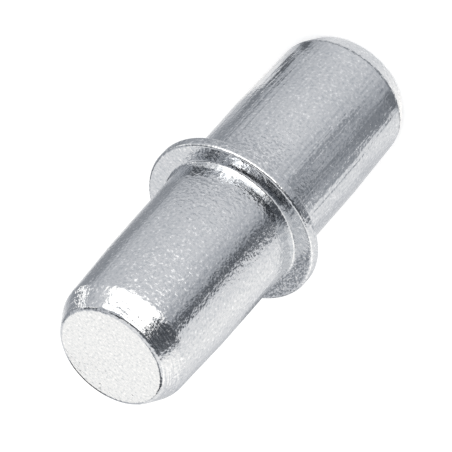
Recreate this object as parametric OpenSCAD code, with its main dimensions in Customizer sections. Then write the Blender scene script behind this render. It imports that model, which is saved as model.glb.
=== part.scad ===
// Shelf support pin: one cold-formed steel piece with a thin collar and two equal shanks.
// It is pushed into a 5 mm hole in a cabinet side up to the collar, and a shelf rests on the free end.
// The pin stands on one end face at z = 0, with its axis on +Z. All sizes are in mm.

/* [Overall] */

// Length over both end faces
overall_length = 15.5; // [13:0.1:30]

/* [Shank] */

// Diameter of the straight stretch that fits the hole
shank_dia = 5.0; // [4:0.1:8]
// Length of the straight stretch, from the collar face
straight_length = 4.0; // [1:0.1:4.5]
// How much smaller across the shank is at its shoulder than at the straight stretch
nose_taper = 0.18; // [0.05:0.01:0.5]

/* [Lead-in] */

// Length of the sloped end, from the shoulder to the end face
lead_in_length = 0.8; // [0.5:0.05:1.5]
// Slope of the sloped end, in degrees from the axis
lead_in_angle = 27; // [15:1:45]
// Radius that blends the shank into the sloped end
shoulder_blend_r = 0.9; // [0.2:0.1:1.6]
// Radius on the edge of the end face
end_edge_r = 0.2; // [0.05:0.05:0.5]

/* [Collar] */

// How far the collar stands out past the shank
collar_reach = 0.75; // [0.6:0.05:3]
// Thickness of the collar
collar_thickness = 0.45; // [0.3:0.05:2]
// Radius on both edges of the collar's rim
collar_edge_r = 0.1; // [0.05:0.01:0.14]
// How far up the shank the flare at its root starts
root_flare_height = 0.22; // [0.2:0.01:0.6]
// How far the flare stands out past the shank where it meets the collar
root_flare_reach = 0.038; // [0.01:0.002:0.1]
// Radius that blends the shank into the flare
root_blend_r = 0.75; // [0.2:0.05:1]
// Radius in the corner between the flare and the collar
root_fillet_r = 0.08; // [0.04:0.01:0.1]

/* [Hidden] */

$fn = 96;

zinc_grey = [0.72, 0.74, 0.76];

half_length = overall_length / 2;
shank_r = shank_dia / 2;
half_collar = collar_thickness / 2;
collar_r = shank_r + collar_reach;

// Shoulder: where the taper of the shank would meet the sloped end as a sharp corner
shoulder = [shank_r - nose_taper / 2, half_length - lead_in_length];

// Taper: from the end of the straight stretch to the shoulder
straight_z = half_collar + straight_length;
taper_angle = atan2(nose_taper / 2, shoulder[1] - straight_z);
taper_along = [-sin(taper_angle), cos(taper_angle)];
taper_out = [cos(taper_angle), sin(taper_angle)];

// Sloped end: unit vectors along it, towards the end face, and square out of it
slope_along = [-sin(lead_in_angle), cos(lead_in_angle)];
slope_out = [cos(lead_in_angle), sin(lead_in_angle)];

// Blend arc at the shoulder: it touches the taper and the slope at equal distances from the corner
blend_reach = shoulder_blend_r * tan((lead_in_angle - taper_angle) / 2);
blend_low = shoulder - blend_reach * taper_along;
blend_high = shoulder + blend_reach * slope_along;
blend_centre = blend_low - shoulder_blend_r * taper_out;

// Arc on the edge of the end face: its centre is one radius inside the slope and inside the face
edge_z = half_length - end_edge_r;
edge_drop = (end_edge_r + (edge_z - shoulder[1]) * slope_out[1]) / slope_out[0];
edge_centre = [shoulder[0] - edge_drop, edge_z];
edge_low = edge_centre + end_edge_r * slope_out;

// Flare at the root: the sharp corners it would have on the shank and on the collar face, and the
// points where the two arcs that blend those corners touch the straight stretches
flare_top = [shank_r, half_collar + root_flare_height];
flare_foot = [shank_r + root_flare_reach, half_collar];
flare_angle = atan2(root_flare_reach, root_flare_height);
flare_up = [-sin(flare_angle), cos(flare_angle)];
flare_blend_reach = root_blend_r * tan(flare_angle / 2);
fillet_reach = root_fillet_r * tan((90 - flare_angle) / 2);
flare_high = flare_top + [0, flare_blend_reach];
flare_low = flare_top - flare_blend_reach * flare_up;
fillet_high = flare_foot + fillet_reach * flare_up;
fillet_low = flare_foot + [fillet_reach, 0];

// A round stretch stands this much proud of the straight ones it blends, so the two always cross
lap = 0.00002;

// Half of the outline past the straight stretch: taper, shoulder blend, sloped end and end face
module nose_outline() {
    polygon([
        [0, straight_z],
        [shank_r, straight_z],
        blend_low,
        blend_high,
        edge_low,
        [edge_centre[0], half_length],
        [0, half_length]
    ]);
    intersection() {
        translate(blend_centre) circle(r = shoulder_blend_r + lap);
        polygon([
            blend_centre,
            blend_centre + shoulder_blend_r * (2 * taper_out - taper_along),
            blend_centre + shoulder_blend_r * (2 * slope_out + slope_along)
        ]);
    }
    translate(edge_centre) circle(r = end_edge_r + lap);
}

// The root of the shank: a low flare, and the small hollow corner between it and the collar
module root_outline() {
    inner_r = shank_r - root_flare_reach;
    difference() {
        polygon([
            [inner_r, 0],
            [flare_foot[0], 0],
            flare_foot,
            flare_low,
            flare_high,
            [inner_r, flare_high[1]]
        ]);
        translate(flare_high + [root_blend_r, 0]) circle(r = root_blend_r + lap);
    }
    difference() {
        polygon([
            [inner_r, 0],
            [fillet_low[0], 0],
            fillet_low,
            fillet_high,
            [inner_r, fillet_high[1]]
        ]);
        translate(fillet_low + [0, root_fillet_r]) circle(r = root_fillet_r + lap);
    }
}

// The collar, with a round edge on each side of its rim
module collar_outline() {
    translate([0, -half_collar])
        square([collar_r - collar_edge_r, collar_thickness]);
    translate([0, collar_edge_r - half_collar])
        square([collar_r, collar_thickness - 2 * collar_edge_r]);
    for (side = [-1, 1]) {
        translate([collar_r - collar_edge_r, side * (half_collar - collar_edge_r)])
            circle(r = collar_edge_r + lap);
    }
}

// The whole pin: its outline from the axis outwards, turned once round
module pin() {
    color(zinc_grey)
        translate([0, 0, half_length])
            rotate_extrude()
                union() {
                    translate([0, -straight_z]) square([shank_r, 2 * straight_z]);
                    collar_outline();
                    nose_outline();
                    root_outline();
                    mirror([0, 1]) nose_outline();
                    mirror([0, 1]) root_outline();
                }
}

pin();
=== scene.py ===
# A steel shelf support pin, standing on its end on a pale table.
import math

import bpy
from mathutils import Matrix, Vector


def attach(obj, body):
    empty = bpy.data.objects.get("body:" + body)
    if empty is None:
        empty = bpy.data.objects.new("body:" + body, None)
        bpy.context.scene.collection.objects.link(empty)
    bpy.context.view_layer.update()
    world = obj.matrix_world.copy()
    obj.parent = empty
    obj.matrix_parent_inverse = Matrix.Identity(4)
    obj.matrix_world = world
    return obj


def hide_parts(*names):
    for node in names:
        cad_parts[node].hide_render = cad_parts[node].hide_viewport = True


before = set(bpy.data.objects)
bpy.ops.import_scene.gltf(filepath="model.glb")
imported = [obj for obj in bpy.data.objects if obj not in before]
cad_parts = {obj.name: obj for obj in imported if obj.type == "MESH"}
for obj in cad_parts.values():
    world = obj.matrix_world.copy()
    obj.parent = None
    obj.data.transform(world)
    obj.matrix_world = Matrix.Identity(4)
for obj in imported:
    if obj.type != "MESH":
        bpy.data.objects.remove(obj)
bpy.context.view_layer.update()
scene = bpy.context.scene

# The pin: one piece of soft steel wire, cold-headed between two dies. The
# heading pushes the collar out and forms both sloped ends, and the pin is
# then tumbled with others and plated with bright zinc. Its sizes are in mm.
MM = 0.001
PIN_SIZES = {
    "Length": 15.5,
    "Shank Radius": 2.5,
    "Straight Length": 4.0,
    "Shoulder Radius": 2.41,
    "Lead-in Length": 0.8,
    "End Face Radius": 2.0024,
    "Shoulder Blend": 0.9,
    "End Edge": 0.2,
    "Taper Blend": 12.0,
    "Collar Radius": 3.25,
    "Collar Thickness": 0.45,
    "Collar Edge": 0.1,
    "Root Flare Height": 0.22,
    "Root Flare Reach": 0.038,
    "Root Flare Blend": 0.75,
    "Root Fillet": 0.08,
    "Tumbling Dents": 0.0035,
    "Dent Width": 0.7,
}

# How finely the skin is cut: the faces round it, the steps in each rounded
# corner of the outline, and the rings along it. The rings stand closer
# together on a stretch of the outline that is shorter than SHORT_STRETCH.
FACES_ROUND = 260
STEPS_PER_BLEND = 10
RING_SPACING = 0.16
FINE_SPACING = 0.05
SHORT_STRETCH = 2.2
MERGE_WITHIN = 0.0001


def add(tree, kind, inputs=None, **settings):
    """Adds a node. Each input is a value, a socket, or a node that gives its first output."""
    made = tree.nodes.new(kind)
    for name, value in settings.items():
        setattr(made, name, value)
    for key, value in (inputs or {}).items():
        if isinstance(value, bpy.types.Node):
            value = value.outputs[0]
        if isinstance(value, bpy.types.NodeSocket):
            tree.links.new(value, made.inputs[key])
        else:
            made.inputs[key].default_value = value
    return made


lathe = bpy.data.node_groups.new("pin turned from its outline", "GeometryNodeTree")
lathe.interface.new_socket("Geometry", in_out="OUTPUT", socket_type="NodeSocketGeometry")
identifiers = {}
for name in PIN_SIZES:
    socket = lathe.interface.new_socket(name, in_out="INPUT", socket_type="NodeSocketFloat")
    identifiers[name] = socket.identifier
socket = lathe.interface.new_socket("Finish", in_out="INPUT", socket_type="NodeSocketMaterial")
identifiers["Finish"] = socket.identifier
sizes = add(lathe, "NodeGroupInput").outputs

# The upper half's corners, from the axis down to the collar: each is its
# radius, its height from the pin's middle, and the blend that rounds it. The
# one on the axis has no blend.
half_length = add(lathe, "ShaderNodeMath", {
    0: sizes["Length"], 1: 0.5,
}, operation="MULTIPLY")
half_collar = add(lathe, "ShaderNodeMath", {
    0: sizes["Collar Thickness"], 1: 0.5,
}, operation="MULTIPLY")
shoulder_z = add(lathe, "ShaderNodeMath", {
    0: half_length, 1: sizes["Lead-in Length"],
}, operation="SUBTRACT")
straight_z = add(lathe, "ShaderNodeMath", {
    0: half_collar, 1: sizes["Straight Length"],
}, operation="ADD")
flare_z = add(lathe, "ShaderNodeMath", {
    0: half_collar, 1: sizes["Root Flare Height"],
}, operation="ADD")
flare_radius = add(lathe, "ShaderNodeMath", {
    0: sizes["Shank Radius"], 1: sizes["Root Flare Reach"],
}, operation="ADD")
upper_half = [
    (0.0, half_length, None),
    (sizes["End Face Radius"], half_length, sizes["End Edge"]),
    (sizes["Shoulder Radius"], shoulder_z, sizes["Shoulder Blend"]),
    (sizes["Shank Radius"], straight_z, sizes["Taper Blend"]),
    (sizes["Shank Radius"], flare_z, sizes["Root Flare Blend"]),
    (flare_radius, half_collar, sizes["Root Fillet"]),
    (sizes["Collar Radius"], half_collar, sizes["Collar Edge"]),
]

# The lower half is the upper one turned over. The outline is swept round a
# circle of PATH_RADIUS, so it is drawn that much nearer the axis, and the
# sweep turns it over, so the upper half is drawn downwards. An index switch
# has two entries to begin with, and needs one for each corner.
PATH_RADIUS = 1.0
DRAWN_DOWN, DRAWN_UP = -1.0, 1.0
corners = [(*corner, DRAWN_DOWN) for corner in upper_half]
corners += [(*corner, DRAWN_UP) for corner in reversed(upper_half)]
place = add(lathe, "GeometryNodeIndexSwitch", data_type="VECTOR")
rounding = add(lathe, "GeometryNodeIndexSwitch", data_type="FLOAT")
index = add(lathe, "GeometryNodeInputIndex").outputs[0]
for switch in (place, rounding):
    for _ in corners[2:]:
        switch.index_switch_items.new()
    lathe.links.new(index, switch.inputs[0])
for number, (radius, height, blend, direction) in enumerate(corners, start=1):
    across = add(lathe, "ShaderNodeMath", {0: radius, 1: PATH_RADIUS}, operation="SUBTRACT")
    along = add(lathe, "ShaderNodeMath", {0: height, 1: direction}, operation="MULTIPLY")
    corner = add(lathe, "ShaderNodeCombineXYZ", {0: across, 1: along})
    lathe.links.new(corner.outputs[0], place.inputs[number])
    if blend is not None:
        lathe.links.new(blend, rounding.inputs[number])
line = add(lathe, "GeometryNodeMeshLine", {"Count": len(corners)})
line = add(lathe, "GeometryNodeMeshToCurve", {0: line})
line = add(lathe, "GeometryNodeSetPosition", {0: line, "Position": place})
line = add(lathe, "GeometryNodeFilletCurve", {
    0: line, "Count": STEPS_PER_BLEND, "Radius": rounding, "Limit Radius": True,
}, mode="POLY")

# Long stretches of the outline are cut to the ring spacing, so that they can
# take the shallow dents.
here = add(lathe, "GeometryNodeInputPosition").outputs[0]
next_point = add(lathe, "ShaderNodeMath", {0: index, 1: 1.0}, operation="ADD")
there = add(lathe, "GeometryNodeFieldAtIndex", {
    "Index": next_point, "Value": here,
}, data_type="FLOAT_VECTOR")
stretch = add(lathe, "ShaderNodeVectorMath", {0: here, 1: there}, operation="DISTANCE").outputs["Value"]
is_short = add(lathe, "ShaderNodeMath", {0: stretch, 1: SHORT_STRETCH}, operation="LESS_THAN")
rings_per_mm = add(lathe, "ShaderNodeMath", {
    0: is_short, 1: 1 / FINE_SPACING - 1 / RING_SPACING, 2: 1 / RING_SPACING,
}, operation="MULTIPLY_ADD")
rings = add(lathe, "ShaderNodeMath", {0: stretch, 1: rings_per_mm}, operation="MULTIPLY")
whole_rings = add(lathe, "ShaderNodeMath", {0: rings}, operation="FLOOR")
outline = add(lathe, "GeometryNodeSubdivideCurve", {0: line, "Cuts": whole_rings})

path = add(lathe, "GeometryNodeCurvePrimitiveCircle", {
    "Resolution": FACES_ROUND, "Radius": PATH_RADIUS,
})
skin = add(lathe, "GeometryNodeCurveToMesh", {"Curve": path, "Profile Curve": outline})
skin = add(lathe, "GeometryNodeMergeByDistance", {0: skin, "Distance": MERGE_WITHIN})

# Tumbling leaves dents a few thousandths of a millimetre deep. They only go
# inwards, so the pin never grows past its true size.
dents_per_mm = add(lathe, "ShaderNodeMath", {0: 1.0, 1: sizes["Dent Width"]}, operation="DIVIDE")
dents = add(lathe, "ShaderNodeTexNoise", {"Scale": dents_per_mm, "Detail": 1.0})
depth = add(lathe, "ShaderNodeMath", {0: dents, 1: sizes["Tumbling Dents"]}, operation="MULTIPLY")
inwards = add(lathe, "ShaderNodeMath", {0: depth, 1: -1.0}, operation="MULTIPLY")
normal = add(lathe, "GeometryNodeInputNormal")
dented = add(lathe, "ShaderNodeVectorMath", {0: normal, "Scale": inwards}, operation="SCALE")
skin = add(lathe, "GeometryNodeSetPosition", {0: skin, "Offset": dented})

# The finished skin goes from millimetres to metres and stands on its end.
skin = add(lathe, "GeometryNodeTransform", {0: skin, "Scale": (MM, MM, MM)})
lift = add(lathe, "ShaderNodeMath", {0: half_length, 1: MM}, operation="MULTIPLY")
upwards = add(lathe, "ShaderNodeCombineXYZ", {2: lift})
skin = add(lathe, "GeometryNodeTransform", {0: skin, "Translation": upwards})
skin = add(lathe, "GeometryNodeSetShadeSmooth", {0: skin})
skin = add(lathe, "GeometryNodeRealizeInstances", {0: skin})
skin = add(lathe, "GeometryNodeSetMaterial", {0: skin, "Material": sizes["Finish"]})
add(lathe, "NodeGroupOutput", {0: skin})


def paint(hex_colour):
    """An sRGB hex colour as the linear colour that a socket takes."""
    parts = [int(hex_colour[i : i + 2], 16) / 255 for i in (1, 3, 5)]
    linear = [c / 12.92 if c <= 0.04045 else ((c + 0.055) / 1.055) ** 2.4 for c in parts]
    return (*linear, 1.0)


# Bright zinc plate on tumbled steel. The plate grows as crystals over the
# tumbled skin, which gives a cold grey-white metal with a fine sparkling
# grain that roughens the edge of every reflection, and a slow mottle where
# the plate is duller. Under it are the faint lines of drawing along the
# wire, plainest on the lower shank, and of rubbing round the upper sloped
# end. Real crystals and lines are a few thousandths of a millimetre wide,
# too fine to show, so both are drawn as coarse as they need to show.
GRAIN = 0.12 * MM
GRAIN_HEIGHT = 0.0122 * MM
SPARKLE = 0.1 * MM
MOTTLE = 1.1 * MM
DRAW_LINE = 0.17 * MM
DRAW_LINE_STRETCH = 0.02
RUB_LINE = 0.08 * MM
RUB_LINE_STRETCH = 0.08
LINE_HEIGHT = 0.026 * MM
zinc = bpy.data.materials.new("bright zinc plate")
zinc.use_nodes = True
tree = zinc.node_tree
tree.nodes.clear()
spot = add(tree, "ShaderNodeTexCoord").outputs["Object"]

# The plate's colour and roughness: each crystal has its own grey, the
# brightest ones are rougher, and the mottle lies under them all.
MOTTLE_SPREAD = (0.35, 0.65)
MOTTLE_ROUGHNESS = (0.10, 0.17)
GLINT_SPREAD = (0.58, 0.70)
GLINT_ROUGHNESS = 0.16
sparkle = add(tree, "ShaderNodeTexNoise", {"Vector": spot, "Scale": 1 / SPARKLE, "Detail": 1.0})
crystals = add(tree, "ShaderNodeValToRGB", {0: sparkle})
stops = crystals.color_ramp.elements
stops[0].position, stops[0].color = 0.28, paint("#BBBFC4")
stops[1].position, stops[1].color = 0.78, paint("#F4F5F7")
for position, colour in ((0.42, "#CBCED2"), (0.60, "#D2D4D7"), (0.68, "#E0E2E5")):
    stops.new(position).color = paint(colour)
mottle = add(tree, "ShaderNodeTexNoise", {"Vector": spot, "Scale": 1 / MOTTLE, "Detail": 3.0})
dulling = add(tree, "ShaderNodeMapRange", {
    "Value": mottle, "From Min": MOTTLE_SPREAD[0], "From Max": MOTTLE_SPREAD[1],
    "To Min": MOTTLE_ROUGHNESS[0], "To Max": MOTTLE_ROUGHNESS[1],
})
glints = add(tree, "ShaderNodeMapRange", {
    "Value": sparkle, "From Min": GLINT_SPREAD[0], "From Max": GLINT_SPREAD[1],
    "To Min": 0.0, "To Max": GLINT_ROUGHNESS,
})
roughness = add(tree, "ShaderNodeMath", {0: dulling, 1: glints}, operation="ADD")

# The lines: one pattern stretched along the pin, at its full strength on the
# lower shank, weaker above the collar and gone on the upper sloped end, and
# one stretched round that end. The heights are parts of the pin's length.
LOWER_SHANK = 0.42
UPPER_SHANK = 0.55
SHANK_TOP = 0.94
SLOPED_END = 0.955
UPPER_STRENGTH = 0.35
RUB_STRENGTH = 0.6
above_table = add(tree, "ShaderNodeSeparateXYZ", {0: spot}).outputs["Z"]
part_way_up = add(tree, "ShaderNodeMath", {
    0: above_table, 1: PIN_SIZES["Length"] * MM,
}, operation="DIVIDE")
along_pin = add(tree, "ShaderNodeMapping", {"Vector": spot, "Scale": (1.0, 1.0, DRAW_LINE_STRETCH)})
draw_lines = add(tree, "ShaderNodeTexNoise", {"Vector": along_pin, "Scale": 1 / DRAW_LINE, "Detail": 1.0})
strength = add(tree, "ShaderNodeValToRGB", {0: part_way_up})
stops = strength.color_ramp.elements
stops[0].position, stops[0].color = LOWER_SHANK, (1.0, 1.0, 1.0, 1.0)
stops[1].position, stops[1].color = SLOPED_END, (0.0, 0.0, 0.0, 1.0)
for position in (UPPER_SHANK, SHANK_TOP):
    stops.new(position).color = (UPPER_STRENGTH, UPPER_STRENGTH, UPPER_STRENGTH, 1.0)
draw_lines = add(tree, "ShaderNodeMath", {0: draw_lines, 1: strength}, operation="MULTIPLY")
round_pin = add(tree, "ShaderNodeMapping", {
    "Vector": spot, "Scale": (RUB_LINE_STRETCH, RUB_LINE_STRETCH, 1.0),
})
rub_lines = add(tree, "ShaderNodeTexNoise", {"Vector": round_pin, "Scale": 1 / RUB_LINE, "Detail": 1.0})
on_sloped_end = add(tree, "ShaderNodeMapRange", {
    "Value": part_way_up, "From Min": SHANK_TOP, "From Max": SLOPED_END,
})
rub_lines = add(tree, "ShaderNodeMath", {0: rub_lines, 1: on_sloped_end}, operation="MULTIPLY")
rub_lines = add(tree, "ShaderNodeMath", {0: rub_lines, 1: RUB_STRENGTH}, operation="MULTIPLY")
lines = add(tree, "ShaderNodeMath", {0: draw_lines, 1: rub_lines}, operation="ADD")
line_relief = add(tree, "ShaderNodeBump", {"Height": lines, "Distance": LINE_HEIGHT})

# The crystals' own relief goes over the lines.
grain = add(tree, "ShaderNodeTexNoise", {"Vector": spot, "Scale": 1 / GRAIN, "Detail": 1.0})
relief = add(tree, "ShaderNodeBump", {
    "Height": grain, "Distance": GRAIN_HEIGHT, "Normal": line_relief,
})
metal = add(tree, "ShaderNodeBsdfPrincipled", {
    "Base Color": crystals, "Metallic": 1.0, "Roughness": roughness, "Normal": relief,
})
add(tree, "ShaderNodeOutputMaterial", {0: metal})

turned = bpy.data.objects.new("turned pin", bpy.data.meshes.new("turned pin"))
scene.collection.objects.link(turned)
turning = turned.modifiers.new("turning", "NODES")
turning.node_group = lathe
for name, value in PIN_SIZES.items():
    turning[identifiers[name]] = value
turning[identifiers["Finish"]] = zinc
solid = bpy.data.meshes.new_from_object(turned.evaluated_get(bpy.context.evaluated_depsgraph_get()))
bpy.data.objects.remove(turned)
pin = bpy.data.objects.new("shelf_pin", solid)
scene.collection.objects.link(pin)
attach(pin, "root")
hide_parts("pin")

# The table: a plain sheet of matt white paper under the pin. It shows as
# white and keeps the pin's soft shadow.
TABLE_SIZE = 0.6
TABLE_GLOW = 0.3
paper = bpy.data.materials.new("white paper")
paper.use_nodes = True
tree = paper.node_tree
tree.nodes.clear()
matt = add(tree, "ShaderNodeBsdfDiffuse", {"Color": paint("#F6F6F6")})
rays = add(tree, "ShaderNodeLightPath").outputs
seen = add(tree, "ShaderNodeMath", {0: rays["Is Camera Ray"], 1: rays["Is Glossy Ray"]}, operation="ADD")
seen = add(tree, "ShaderNodeMath", {0: seen, 1: rays["Is Transmission Ray"]}, operation="ADD")
amount = add(tree, "ShaderNodeMath", {0: seen, 1: TABLE_GLOW}, operation="MULTIPLY")
glow = add(tree, "ShaderNodeEmission", {"Color": paint("#FFFFFF"), "Strength": amount})
both = add(tree, "ShaderNodeAddShader", {0: matt, 1: glow})
add(tree, "ShaderNodeOutputMaterial", {0: both})
half = TABLE_SIZE / 2
sheet = bpy.data.meshes.new("table")
sheet_corners = [(-half, -half, 0), (half, -half, 0), (half, half, 0), (-half, half, 0)]
sheet.from_pydata(sheet_corners, [], [(0, 1, 2, 3)])
sheet.materials.append(paper)
table = bpy.data.objects.new("table", sheet)
scene.collection.objects.link(table)

# The light tent: strips of white, grey and black paper that stand or lie
# round the pin, and a painted shadow ring at its foot. They show only in
# its metal, as bands along the shank and patches on the collar and the sloped ends.
strip_paper = bpy.data.materials.new("tent paper")
strip_paper.use_nodes = True
tree = strip_paper.node_tree
tree.nodes.clear()

# A dark paper is a little cool and the brightest a little warm. The ramp
# runs from a level of 0 to TINT_TOP.
TINT_TOP = 2
level = add(tree, "ShaderNodeAttribute", attribute_name="level").outputs["Fac"]
share = add(tree, "ShaderNodeMath", {0: level, 1: 1 / TINT_TOP}, operation="MULTIPLY")
tint = add(tree, "ShaderNodeValToRGB", {0: share})
stops = tint.color_ramp.elements
stops[0].color = paint("#E6EEFA")
stops[1].position, stops[1].color = 0.7, paint("#FFFCF7")
stops.new(0.45).color = paint("#FEFEFF")
shine = add(tree, "ShaderNodeEmission", {"Color": tint, "Strength": level})
add(tree, "ShaderNodeOutputMaterial", {0: shine})

# A bearing is in degrees round the pin from the side that faces the camera,
# and a level of 1 is white.
TENT_RADIUS = 0.25
BEARING_STEP = 2


def strip(name, low_edge, high_edge, levels):
    """A strip of the tent between two edges, each a radius and a height, with its levels by bearing."""
    spots, faces, glows = [], [], []
    for number, bearing in enumerate(range(levels[0][0], levels[-1][0] + 1, BEARING_STEP)):
        for (start, first), (end, last) in zip(levels, levels[1:]):
            if start <= bearing <= end:
                amount = first + (last - first) * (bearing - start) / (end - start)
        turn = math.radians(bearing)
        for radius, height in (low_edge, high_edge):
            spots.append((radius * math.sin(turn), -radius * math.cos(turn), height))
            glows.append(amount)
        if number:
            newest = 2 * number
            faces.append((newest - 2, newest - 1, newest + 1, newest))
    mesh = bpy.data.meshes.new(name)
    mesh.from_pydata(spots, [], faces)
    mesh.attributes.new("level", "FLOAT", "POINT").data.foreach_set("value", glows)
    mesh.materials.append(strip_paper)
    made = bpy.data.objects.new(name, mesh)
    made.visible_camera = made.visible_diffuse = made.visible_shadow = False
    scene.collection.objects.link(made)


def wall(height_angle):
    """The edge of a strip that stands at the tent's radius, at an angle above the table."""
    turn = math.radians(height_angle)
    return TENT_RADIUS * math.cos(turn), TENT_RADIUS * math.sin(turn)


# The papers that lie on the table, from the foot of the pin outwards.
LYING = 0.02 * MM
WHITE = 2.2
strip("strip at the foot", (2.0 * MM, LYING), (2.42 * MM, LYING), [
    (-180, 1.3), (-60, 1.3), (0, 1.0), (50, 0.95), (74, 0.6), (110, 0.6), (180, 0.9),
])
# A painted shadow: a dark ring lying where the pin's contact shadow falls on the table at its foot, seen
# only in the metal.
strip("painted shadow ring round the foot", (2.42 * MM, LYING), (2.62 * MM, LYING), [
    (-180, 1.2), (-110, 1.1), (-92, 0.35), (-40, 0.3), (0, 0.4), (100, 0.4), (140, 0.9), (180, 1.2),
])

# Each table ring has, going round it, a grey paper, a white one, a dark
# streak, a pale paper, a dark line at the pale paper's edge, and white again.
TABLE_RINGS = [
    # from, to, grey paper, level, streak, level, pale paper's level, line, level, level past it
    (2.62, 3.6, -108, 0.78, (-55, -40), 0.26, 0.9, (73, 83), 0.2, 0.75),
    (3.6, 6, -114, 0.75, (-64, -45), 0.35, 0.87, (88, 96), 0.2, 0.92),
    (6, 8.3, -124, 0.75, (-75, -52), 0.46, 0.89, (93, 106), 0.34, 0.6),
    (8.3, 11, -124, 0.75, (-77, -56), 0.53, 0.92, (97, 112), 0.42, 0.5),
    (11, 13.4, -150, 0.38, (-62, -40), 0.3, 0.62, (114, 142), 0.38, 0.7),
    (13.4, 15, -148, 0.35, (-60, -40), 0.2, 0.92, (114, 138), 0.44, 0.7),
    (15, 17.5, -150, 0.7, (-45, -39), 0.13, 0.92, (116, 142), 0.42, 0.9),
    (17.5, 33, -150, 0.7, (-48, -41), 0.17, 0.92, (116, 146), 0.42, 0.9),
]
for (
    inner, outer, grey, grey_level, (start, end), streak_level,
    pale_level, (first, last), line_level, past_level,
) in TABLE_RINGS:
    strip("table strip", (inner * MM, LYING), (outer * MM, LYING), [
        (-180, 1.1), (grey - 14, grey_level + 0.05), (grey, grey_level), (grey + 20, 1.02),
        (start - 16, 1.1), (start - 6, 0.97), (start, streak_level), (end, streak_level), (end + 9, 0.54),
        (-12, 0.77), (8, pale_level), (32, pale_level), (first - 20, pale_level - 0.16), (first - 6, 0.6),
        (first, line_level), (last, line_level), (last + 8, past_level), (last + 30, past_level + 0.25),
        (180, 1.1),
    ])
strip("outer table strip", (33 * MM, LYING), (60 * MM, LYING), [
    (-180, 1.0), (-172, 0.9), (-140, 0.85), (-90, 1.25), (-68, 1.1), (-58, 0.14), (-30, 0.14),
    (-8, WHITE), (54, WHITE), (66, 0.95), (110, 0.6), (116, 0.6), (119, WHITE), (126, WHITE),
    (130, 0.45), (150, 0.7), (166, 1.0), (180, 1.0),
])
strip("far table strip", (60 * MM, LYING), (TENT_RADIUS, LYING), [
    (-180, 1.0), (-172, 0.9), (-140, 0.85), (-90, 1.25), (-68, 1.1), (-58, 0.14), (-24, 0.14),
    (-12, WHITE), (64, WHITE), (76, 0.9), (108, 0.6), (112, WHITE), (114, WHITE),
    (118, 0.4), (140, 0.45), (160, 1.0), (180, 1.0),
])
strip("dark paper over the table strips", (6 * MM, 2 * LYING), (11 * MM, 2 * LYING), [
    (-56, 0.36), (-48, 0.36),
])
strip("grey paper over the table strips", (5 * MM, 2 * LYING), (12 * MM, 2 * LYING), [
    (-34, 0.45), (-24, 0.45),
])
strip("white paper over the table strips", (13.4 * MM, 2 * LYING), (33 * MM, 2 * LYING), [
    (-120, 1.08), (-106, 1.22), (-88, 1.22), (-74, 1.08),
])

# The walls and the roof, from the table up.
strip("low wall", wall(0), wall(22), [
    (-180, 0.9), (-170, 0.9), (-160, 0.05), (-146, 0.9), (-120, 1.5), (-84, 1.45), (-70, 1.2),
    (-59, 0.14), (-16, 0.1), (-6, 2.5), (60, 2.5), (70, 0.95), (104, 0.65), (108, WHITE), (110, WHITE),
    (114, 0.4), (146, 0.5), (158, 0.05), (168, 0.9), (180, 0.9),
])
strip("middle wall", wall(22), wall(31), [
    (-180, 0.9), (-170, 0.9), (-160, 0.05), (-146, 0.9), (-130, 1.8), (-84, 1.9), (-70, 1.4),
    (-58, 0.3), (-46, 0.25), (-26, 0.25), (-12, 2.2), (20, 3.0), (60, 3.0), (80, 2.0), (104, 1.0),
    (132, 0.8), (146, 0.5), (158, 0.05), (168, 0.9), (180, 0.9),
])
strip("high wall", wall(31), wall(45), [
    (-180, 1.0), (-170, 1.0), (-164, 0.1), (-130, 0.1), (-120, 1.3), (-84, 1.15), (-68, 0.85),
    (-60, 0.4), (-50, 0.06), (6, 0.06), (20, 0.8), (41, 1.2), (46, 4.5), (54, 4.5), (64, 0.9),
    (76, 0.65), (88, 0.25), (100, 0.12), (114, 0.12), (130, 0.7), (150, 0.85), (166, 0.5),
    (174, 1.0), (180, 1.0),
])
strip("dark band", wall(45), wall(68), [
    (-180, 1.0), (-170, 1.0), (-160, 0.3), (-136, 0.25), (-124, 0.8), (-110, 1.2), (-62, 1.2),
    (-46, 0.2), (0, 0.2), (10, 0.03), (64, 0.03), (78, 0.8), (98, 0.8), (110, 0.35), (126, 0.35),
    (140, 0.85), (160, 0.9), (180, 1.0),
])
strip("roof", wall(68), wall(89.9), [(-180, 1.1), (180, 1.1)])

# The cards that stand close to the pin, for its end face and its collar.
strip("card above the end face", (12 * MM, 21 * MM), (12 * MM, 32 * MM), [(150, 1.41), (210, 1.41)])
strip("dark card behind the end face", (5 * MM, 13.3 * MM), (5 * MM, 17.2 * MM), [
    (162, 0.9), (168, 0.03), (186, 0.03), (190, 0.35), (200, 0.5), (208, 0.9),
])
strip("lower right card behind the collar", (12 * MM, 13 * MM), (12 * MM, 17 * MM), [
    (-180, 0.34), (-168, 0.34), (-166, 0.5), (-164, 0.82), (-158, 0.85), (-148, 1.15), (-112, 1.2),
])
strip("upper right card behind the collar", (12 * MM, 17 * MM), (12 * MM, 21 * MM), [
    (-180, 0.38), (-168, 0.38), (-166, 0.42), (-164, 0.56), (-158, 0.7), (-148, 1.15), (-112, 1.2),
])
strip("grey card before the end face", (6 * MM, 16.6 * MM), (6 * MM, 19.5 * MM), [
    (20, 0.65), (70, 0.65),
])
strip("left card behind the collar", (12 * MM, 13 * MM), (12 * MM, 21 * MM), [
    (146, 1.02), (180, 1.02),
])

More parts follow.
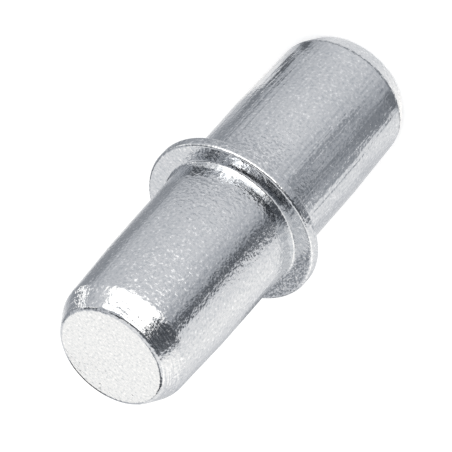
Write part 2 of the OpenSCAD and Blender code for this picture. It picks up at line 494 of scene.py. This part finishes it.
# The lamps: one wide soft panel and the white room round it. They light the
# table and draw the pin's soft shadow, and the tent does the rest.
PANEL_SIZE = 0.4
PANEL_POWER = 1.2
PANEL_PLACE = Vector((0.0, -0.35, 0.4))
ROOM_LEVEL = 0.7
panel = bpy.data.lights.new("soft panel", "AREA")
panel.shape = "DISK"
panel.size = PANEL_SIZE
panel.energy = PANEL_POWER
hung_panel = bpy.data.objects.new("soft panel", panel)
hung_panel.location = PANEL_PLACE
hung_panel.rotation_euler = PANEL_PLACE.to_track_quat("Z", "Y").to_euler()
hung_panel.visible_glossy = False
scene.collection.objects.link(hung_panel)

room = bpy.data.worlds.new("white room")
scene.world = room
room.use_nodes = True
tree = room.node_tree
tree.nodes.clear()
rays = add(tree, "ShaderNodeLightPath").outputs
seen = add(tree, "ShaderNodeMath", {0: rays["Is Camera Ray"], 1: rays["Is Glossy Ray"]}, operation="ADD")
seen = add(tree, "ShaderNodeMath", {
    0: seen, 1: rays["Is Transmission Ray"],
}, operation="ADD", use_clamp=True)
amount = add(tree, "ShaderNodeMapRange", {"Value": seen, "To Min": ROOM_LEVEL, "To Max": 1.0})
air = add(tree, "ShaderNodeBackground", {"Color": paint("#FFFFFF"), "Strength": amount})
add(tree, "ShaderNodeOutputWorld", {0: air})

# The camera: it looks down on the standing pin from 37.5 degrees above the
# table, and is turned about its own axis so that the upper end points down
# and to the left.
TILT = math.radians(52.5)  # from straight down
LEAN = math.radians(131.44)  # of the upper end in the view, clockwise from the right
DISTANCE = 300 * MM
VIEW_WIDTH = 15.229 * MM  # at the pin's middle
AIM_SHIFT = (0.245 * MM, -0.254 * MM)  # of the pin's middle in the view, right and down
lens = bpy.data.cameras.new("camera")
lens.sensor_width = 36.0
lens.lens = lens.sensor_width * DISTANCE / VIEW_WIDTH
lens.clip_start = 0.01
lens.clip_end = 10.0
camera = bpy.data.objects.new("camera", lens)
scene.collection.objects.link(camera)
forward = Vector((0, math.sin(TILT), -math.cos(TILT)))
level_right = Vector((1, 0, 0))
level_down = forward.cross(level_right)
roll = math.atan2(-math.cos(LEAN), -math.sin(LEAN))
right = math.cos(roll) * level_right + math.sin(roll) * level_down
down = -math.sin(roll) * level_right + math.cos(roll) * level_down
middle = Vector((0, 0, PIN_SIZES["Length"] / 2 * MM))
eye = middle - AIM_SHIFT[0] * right - AIM_SHIFT[1] * down - DISTANCE * forward
facing = Matrix((right, -down, -forward)).transposed().to_4x4()
camera.matrix_world = Matrix.Translation(eye) @ facing
scene.camera = camera
scene.view_settings.view_transform = "Standard"
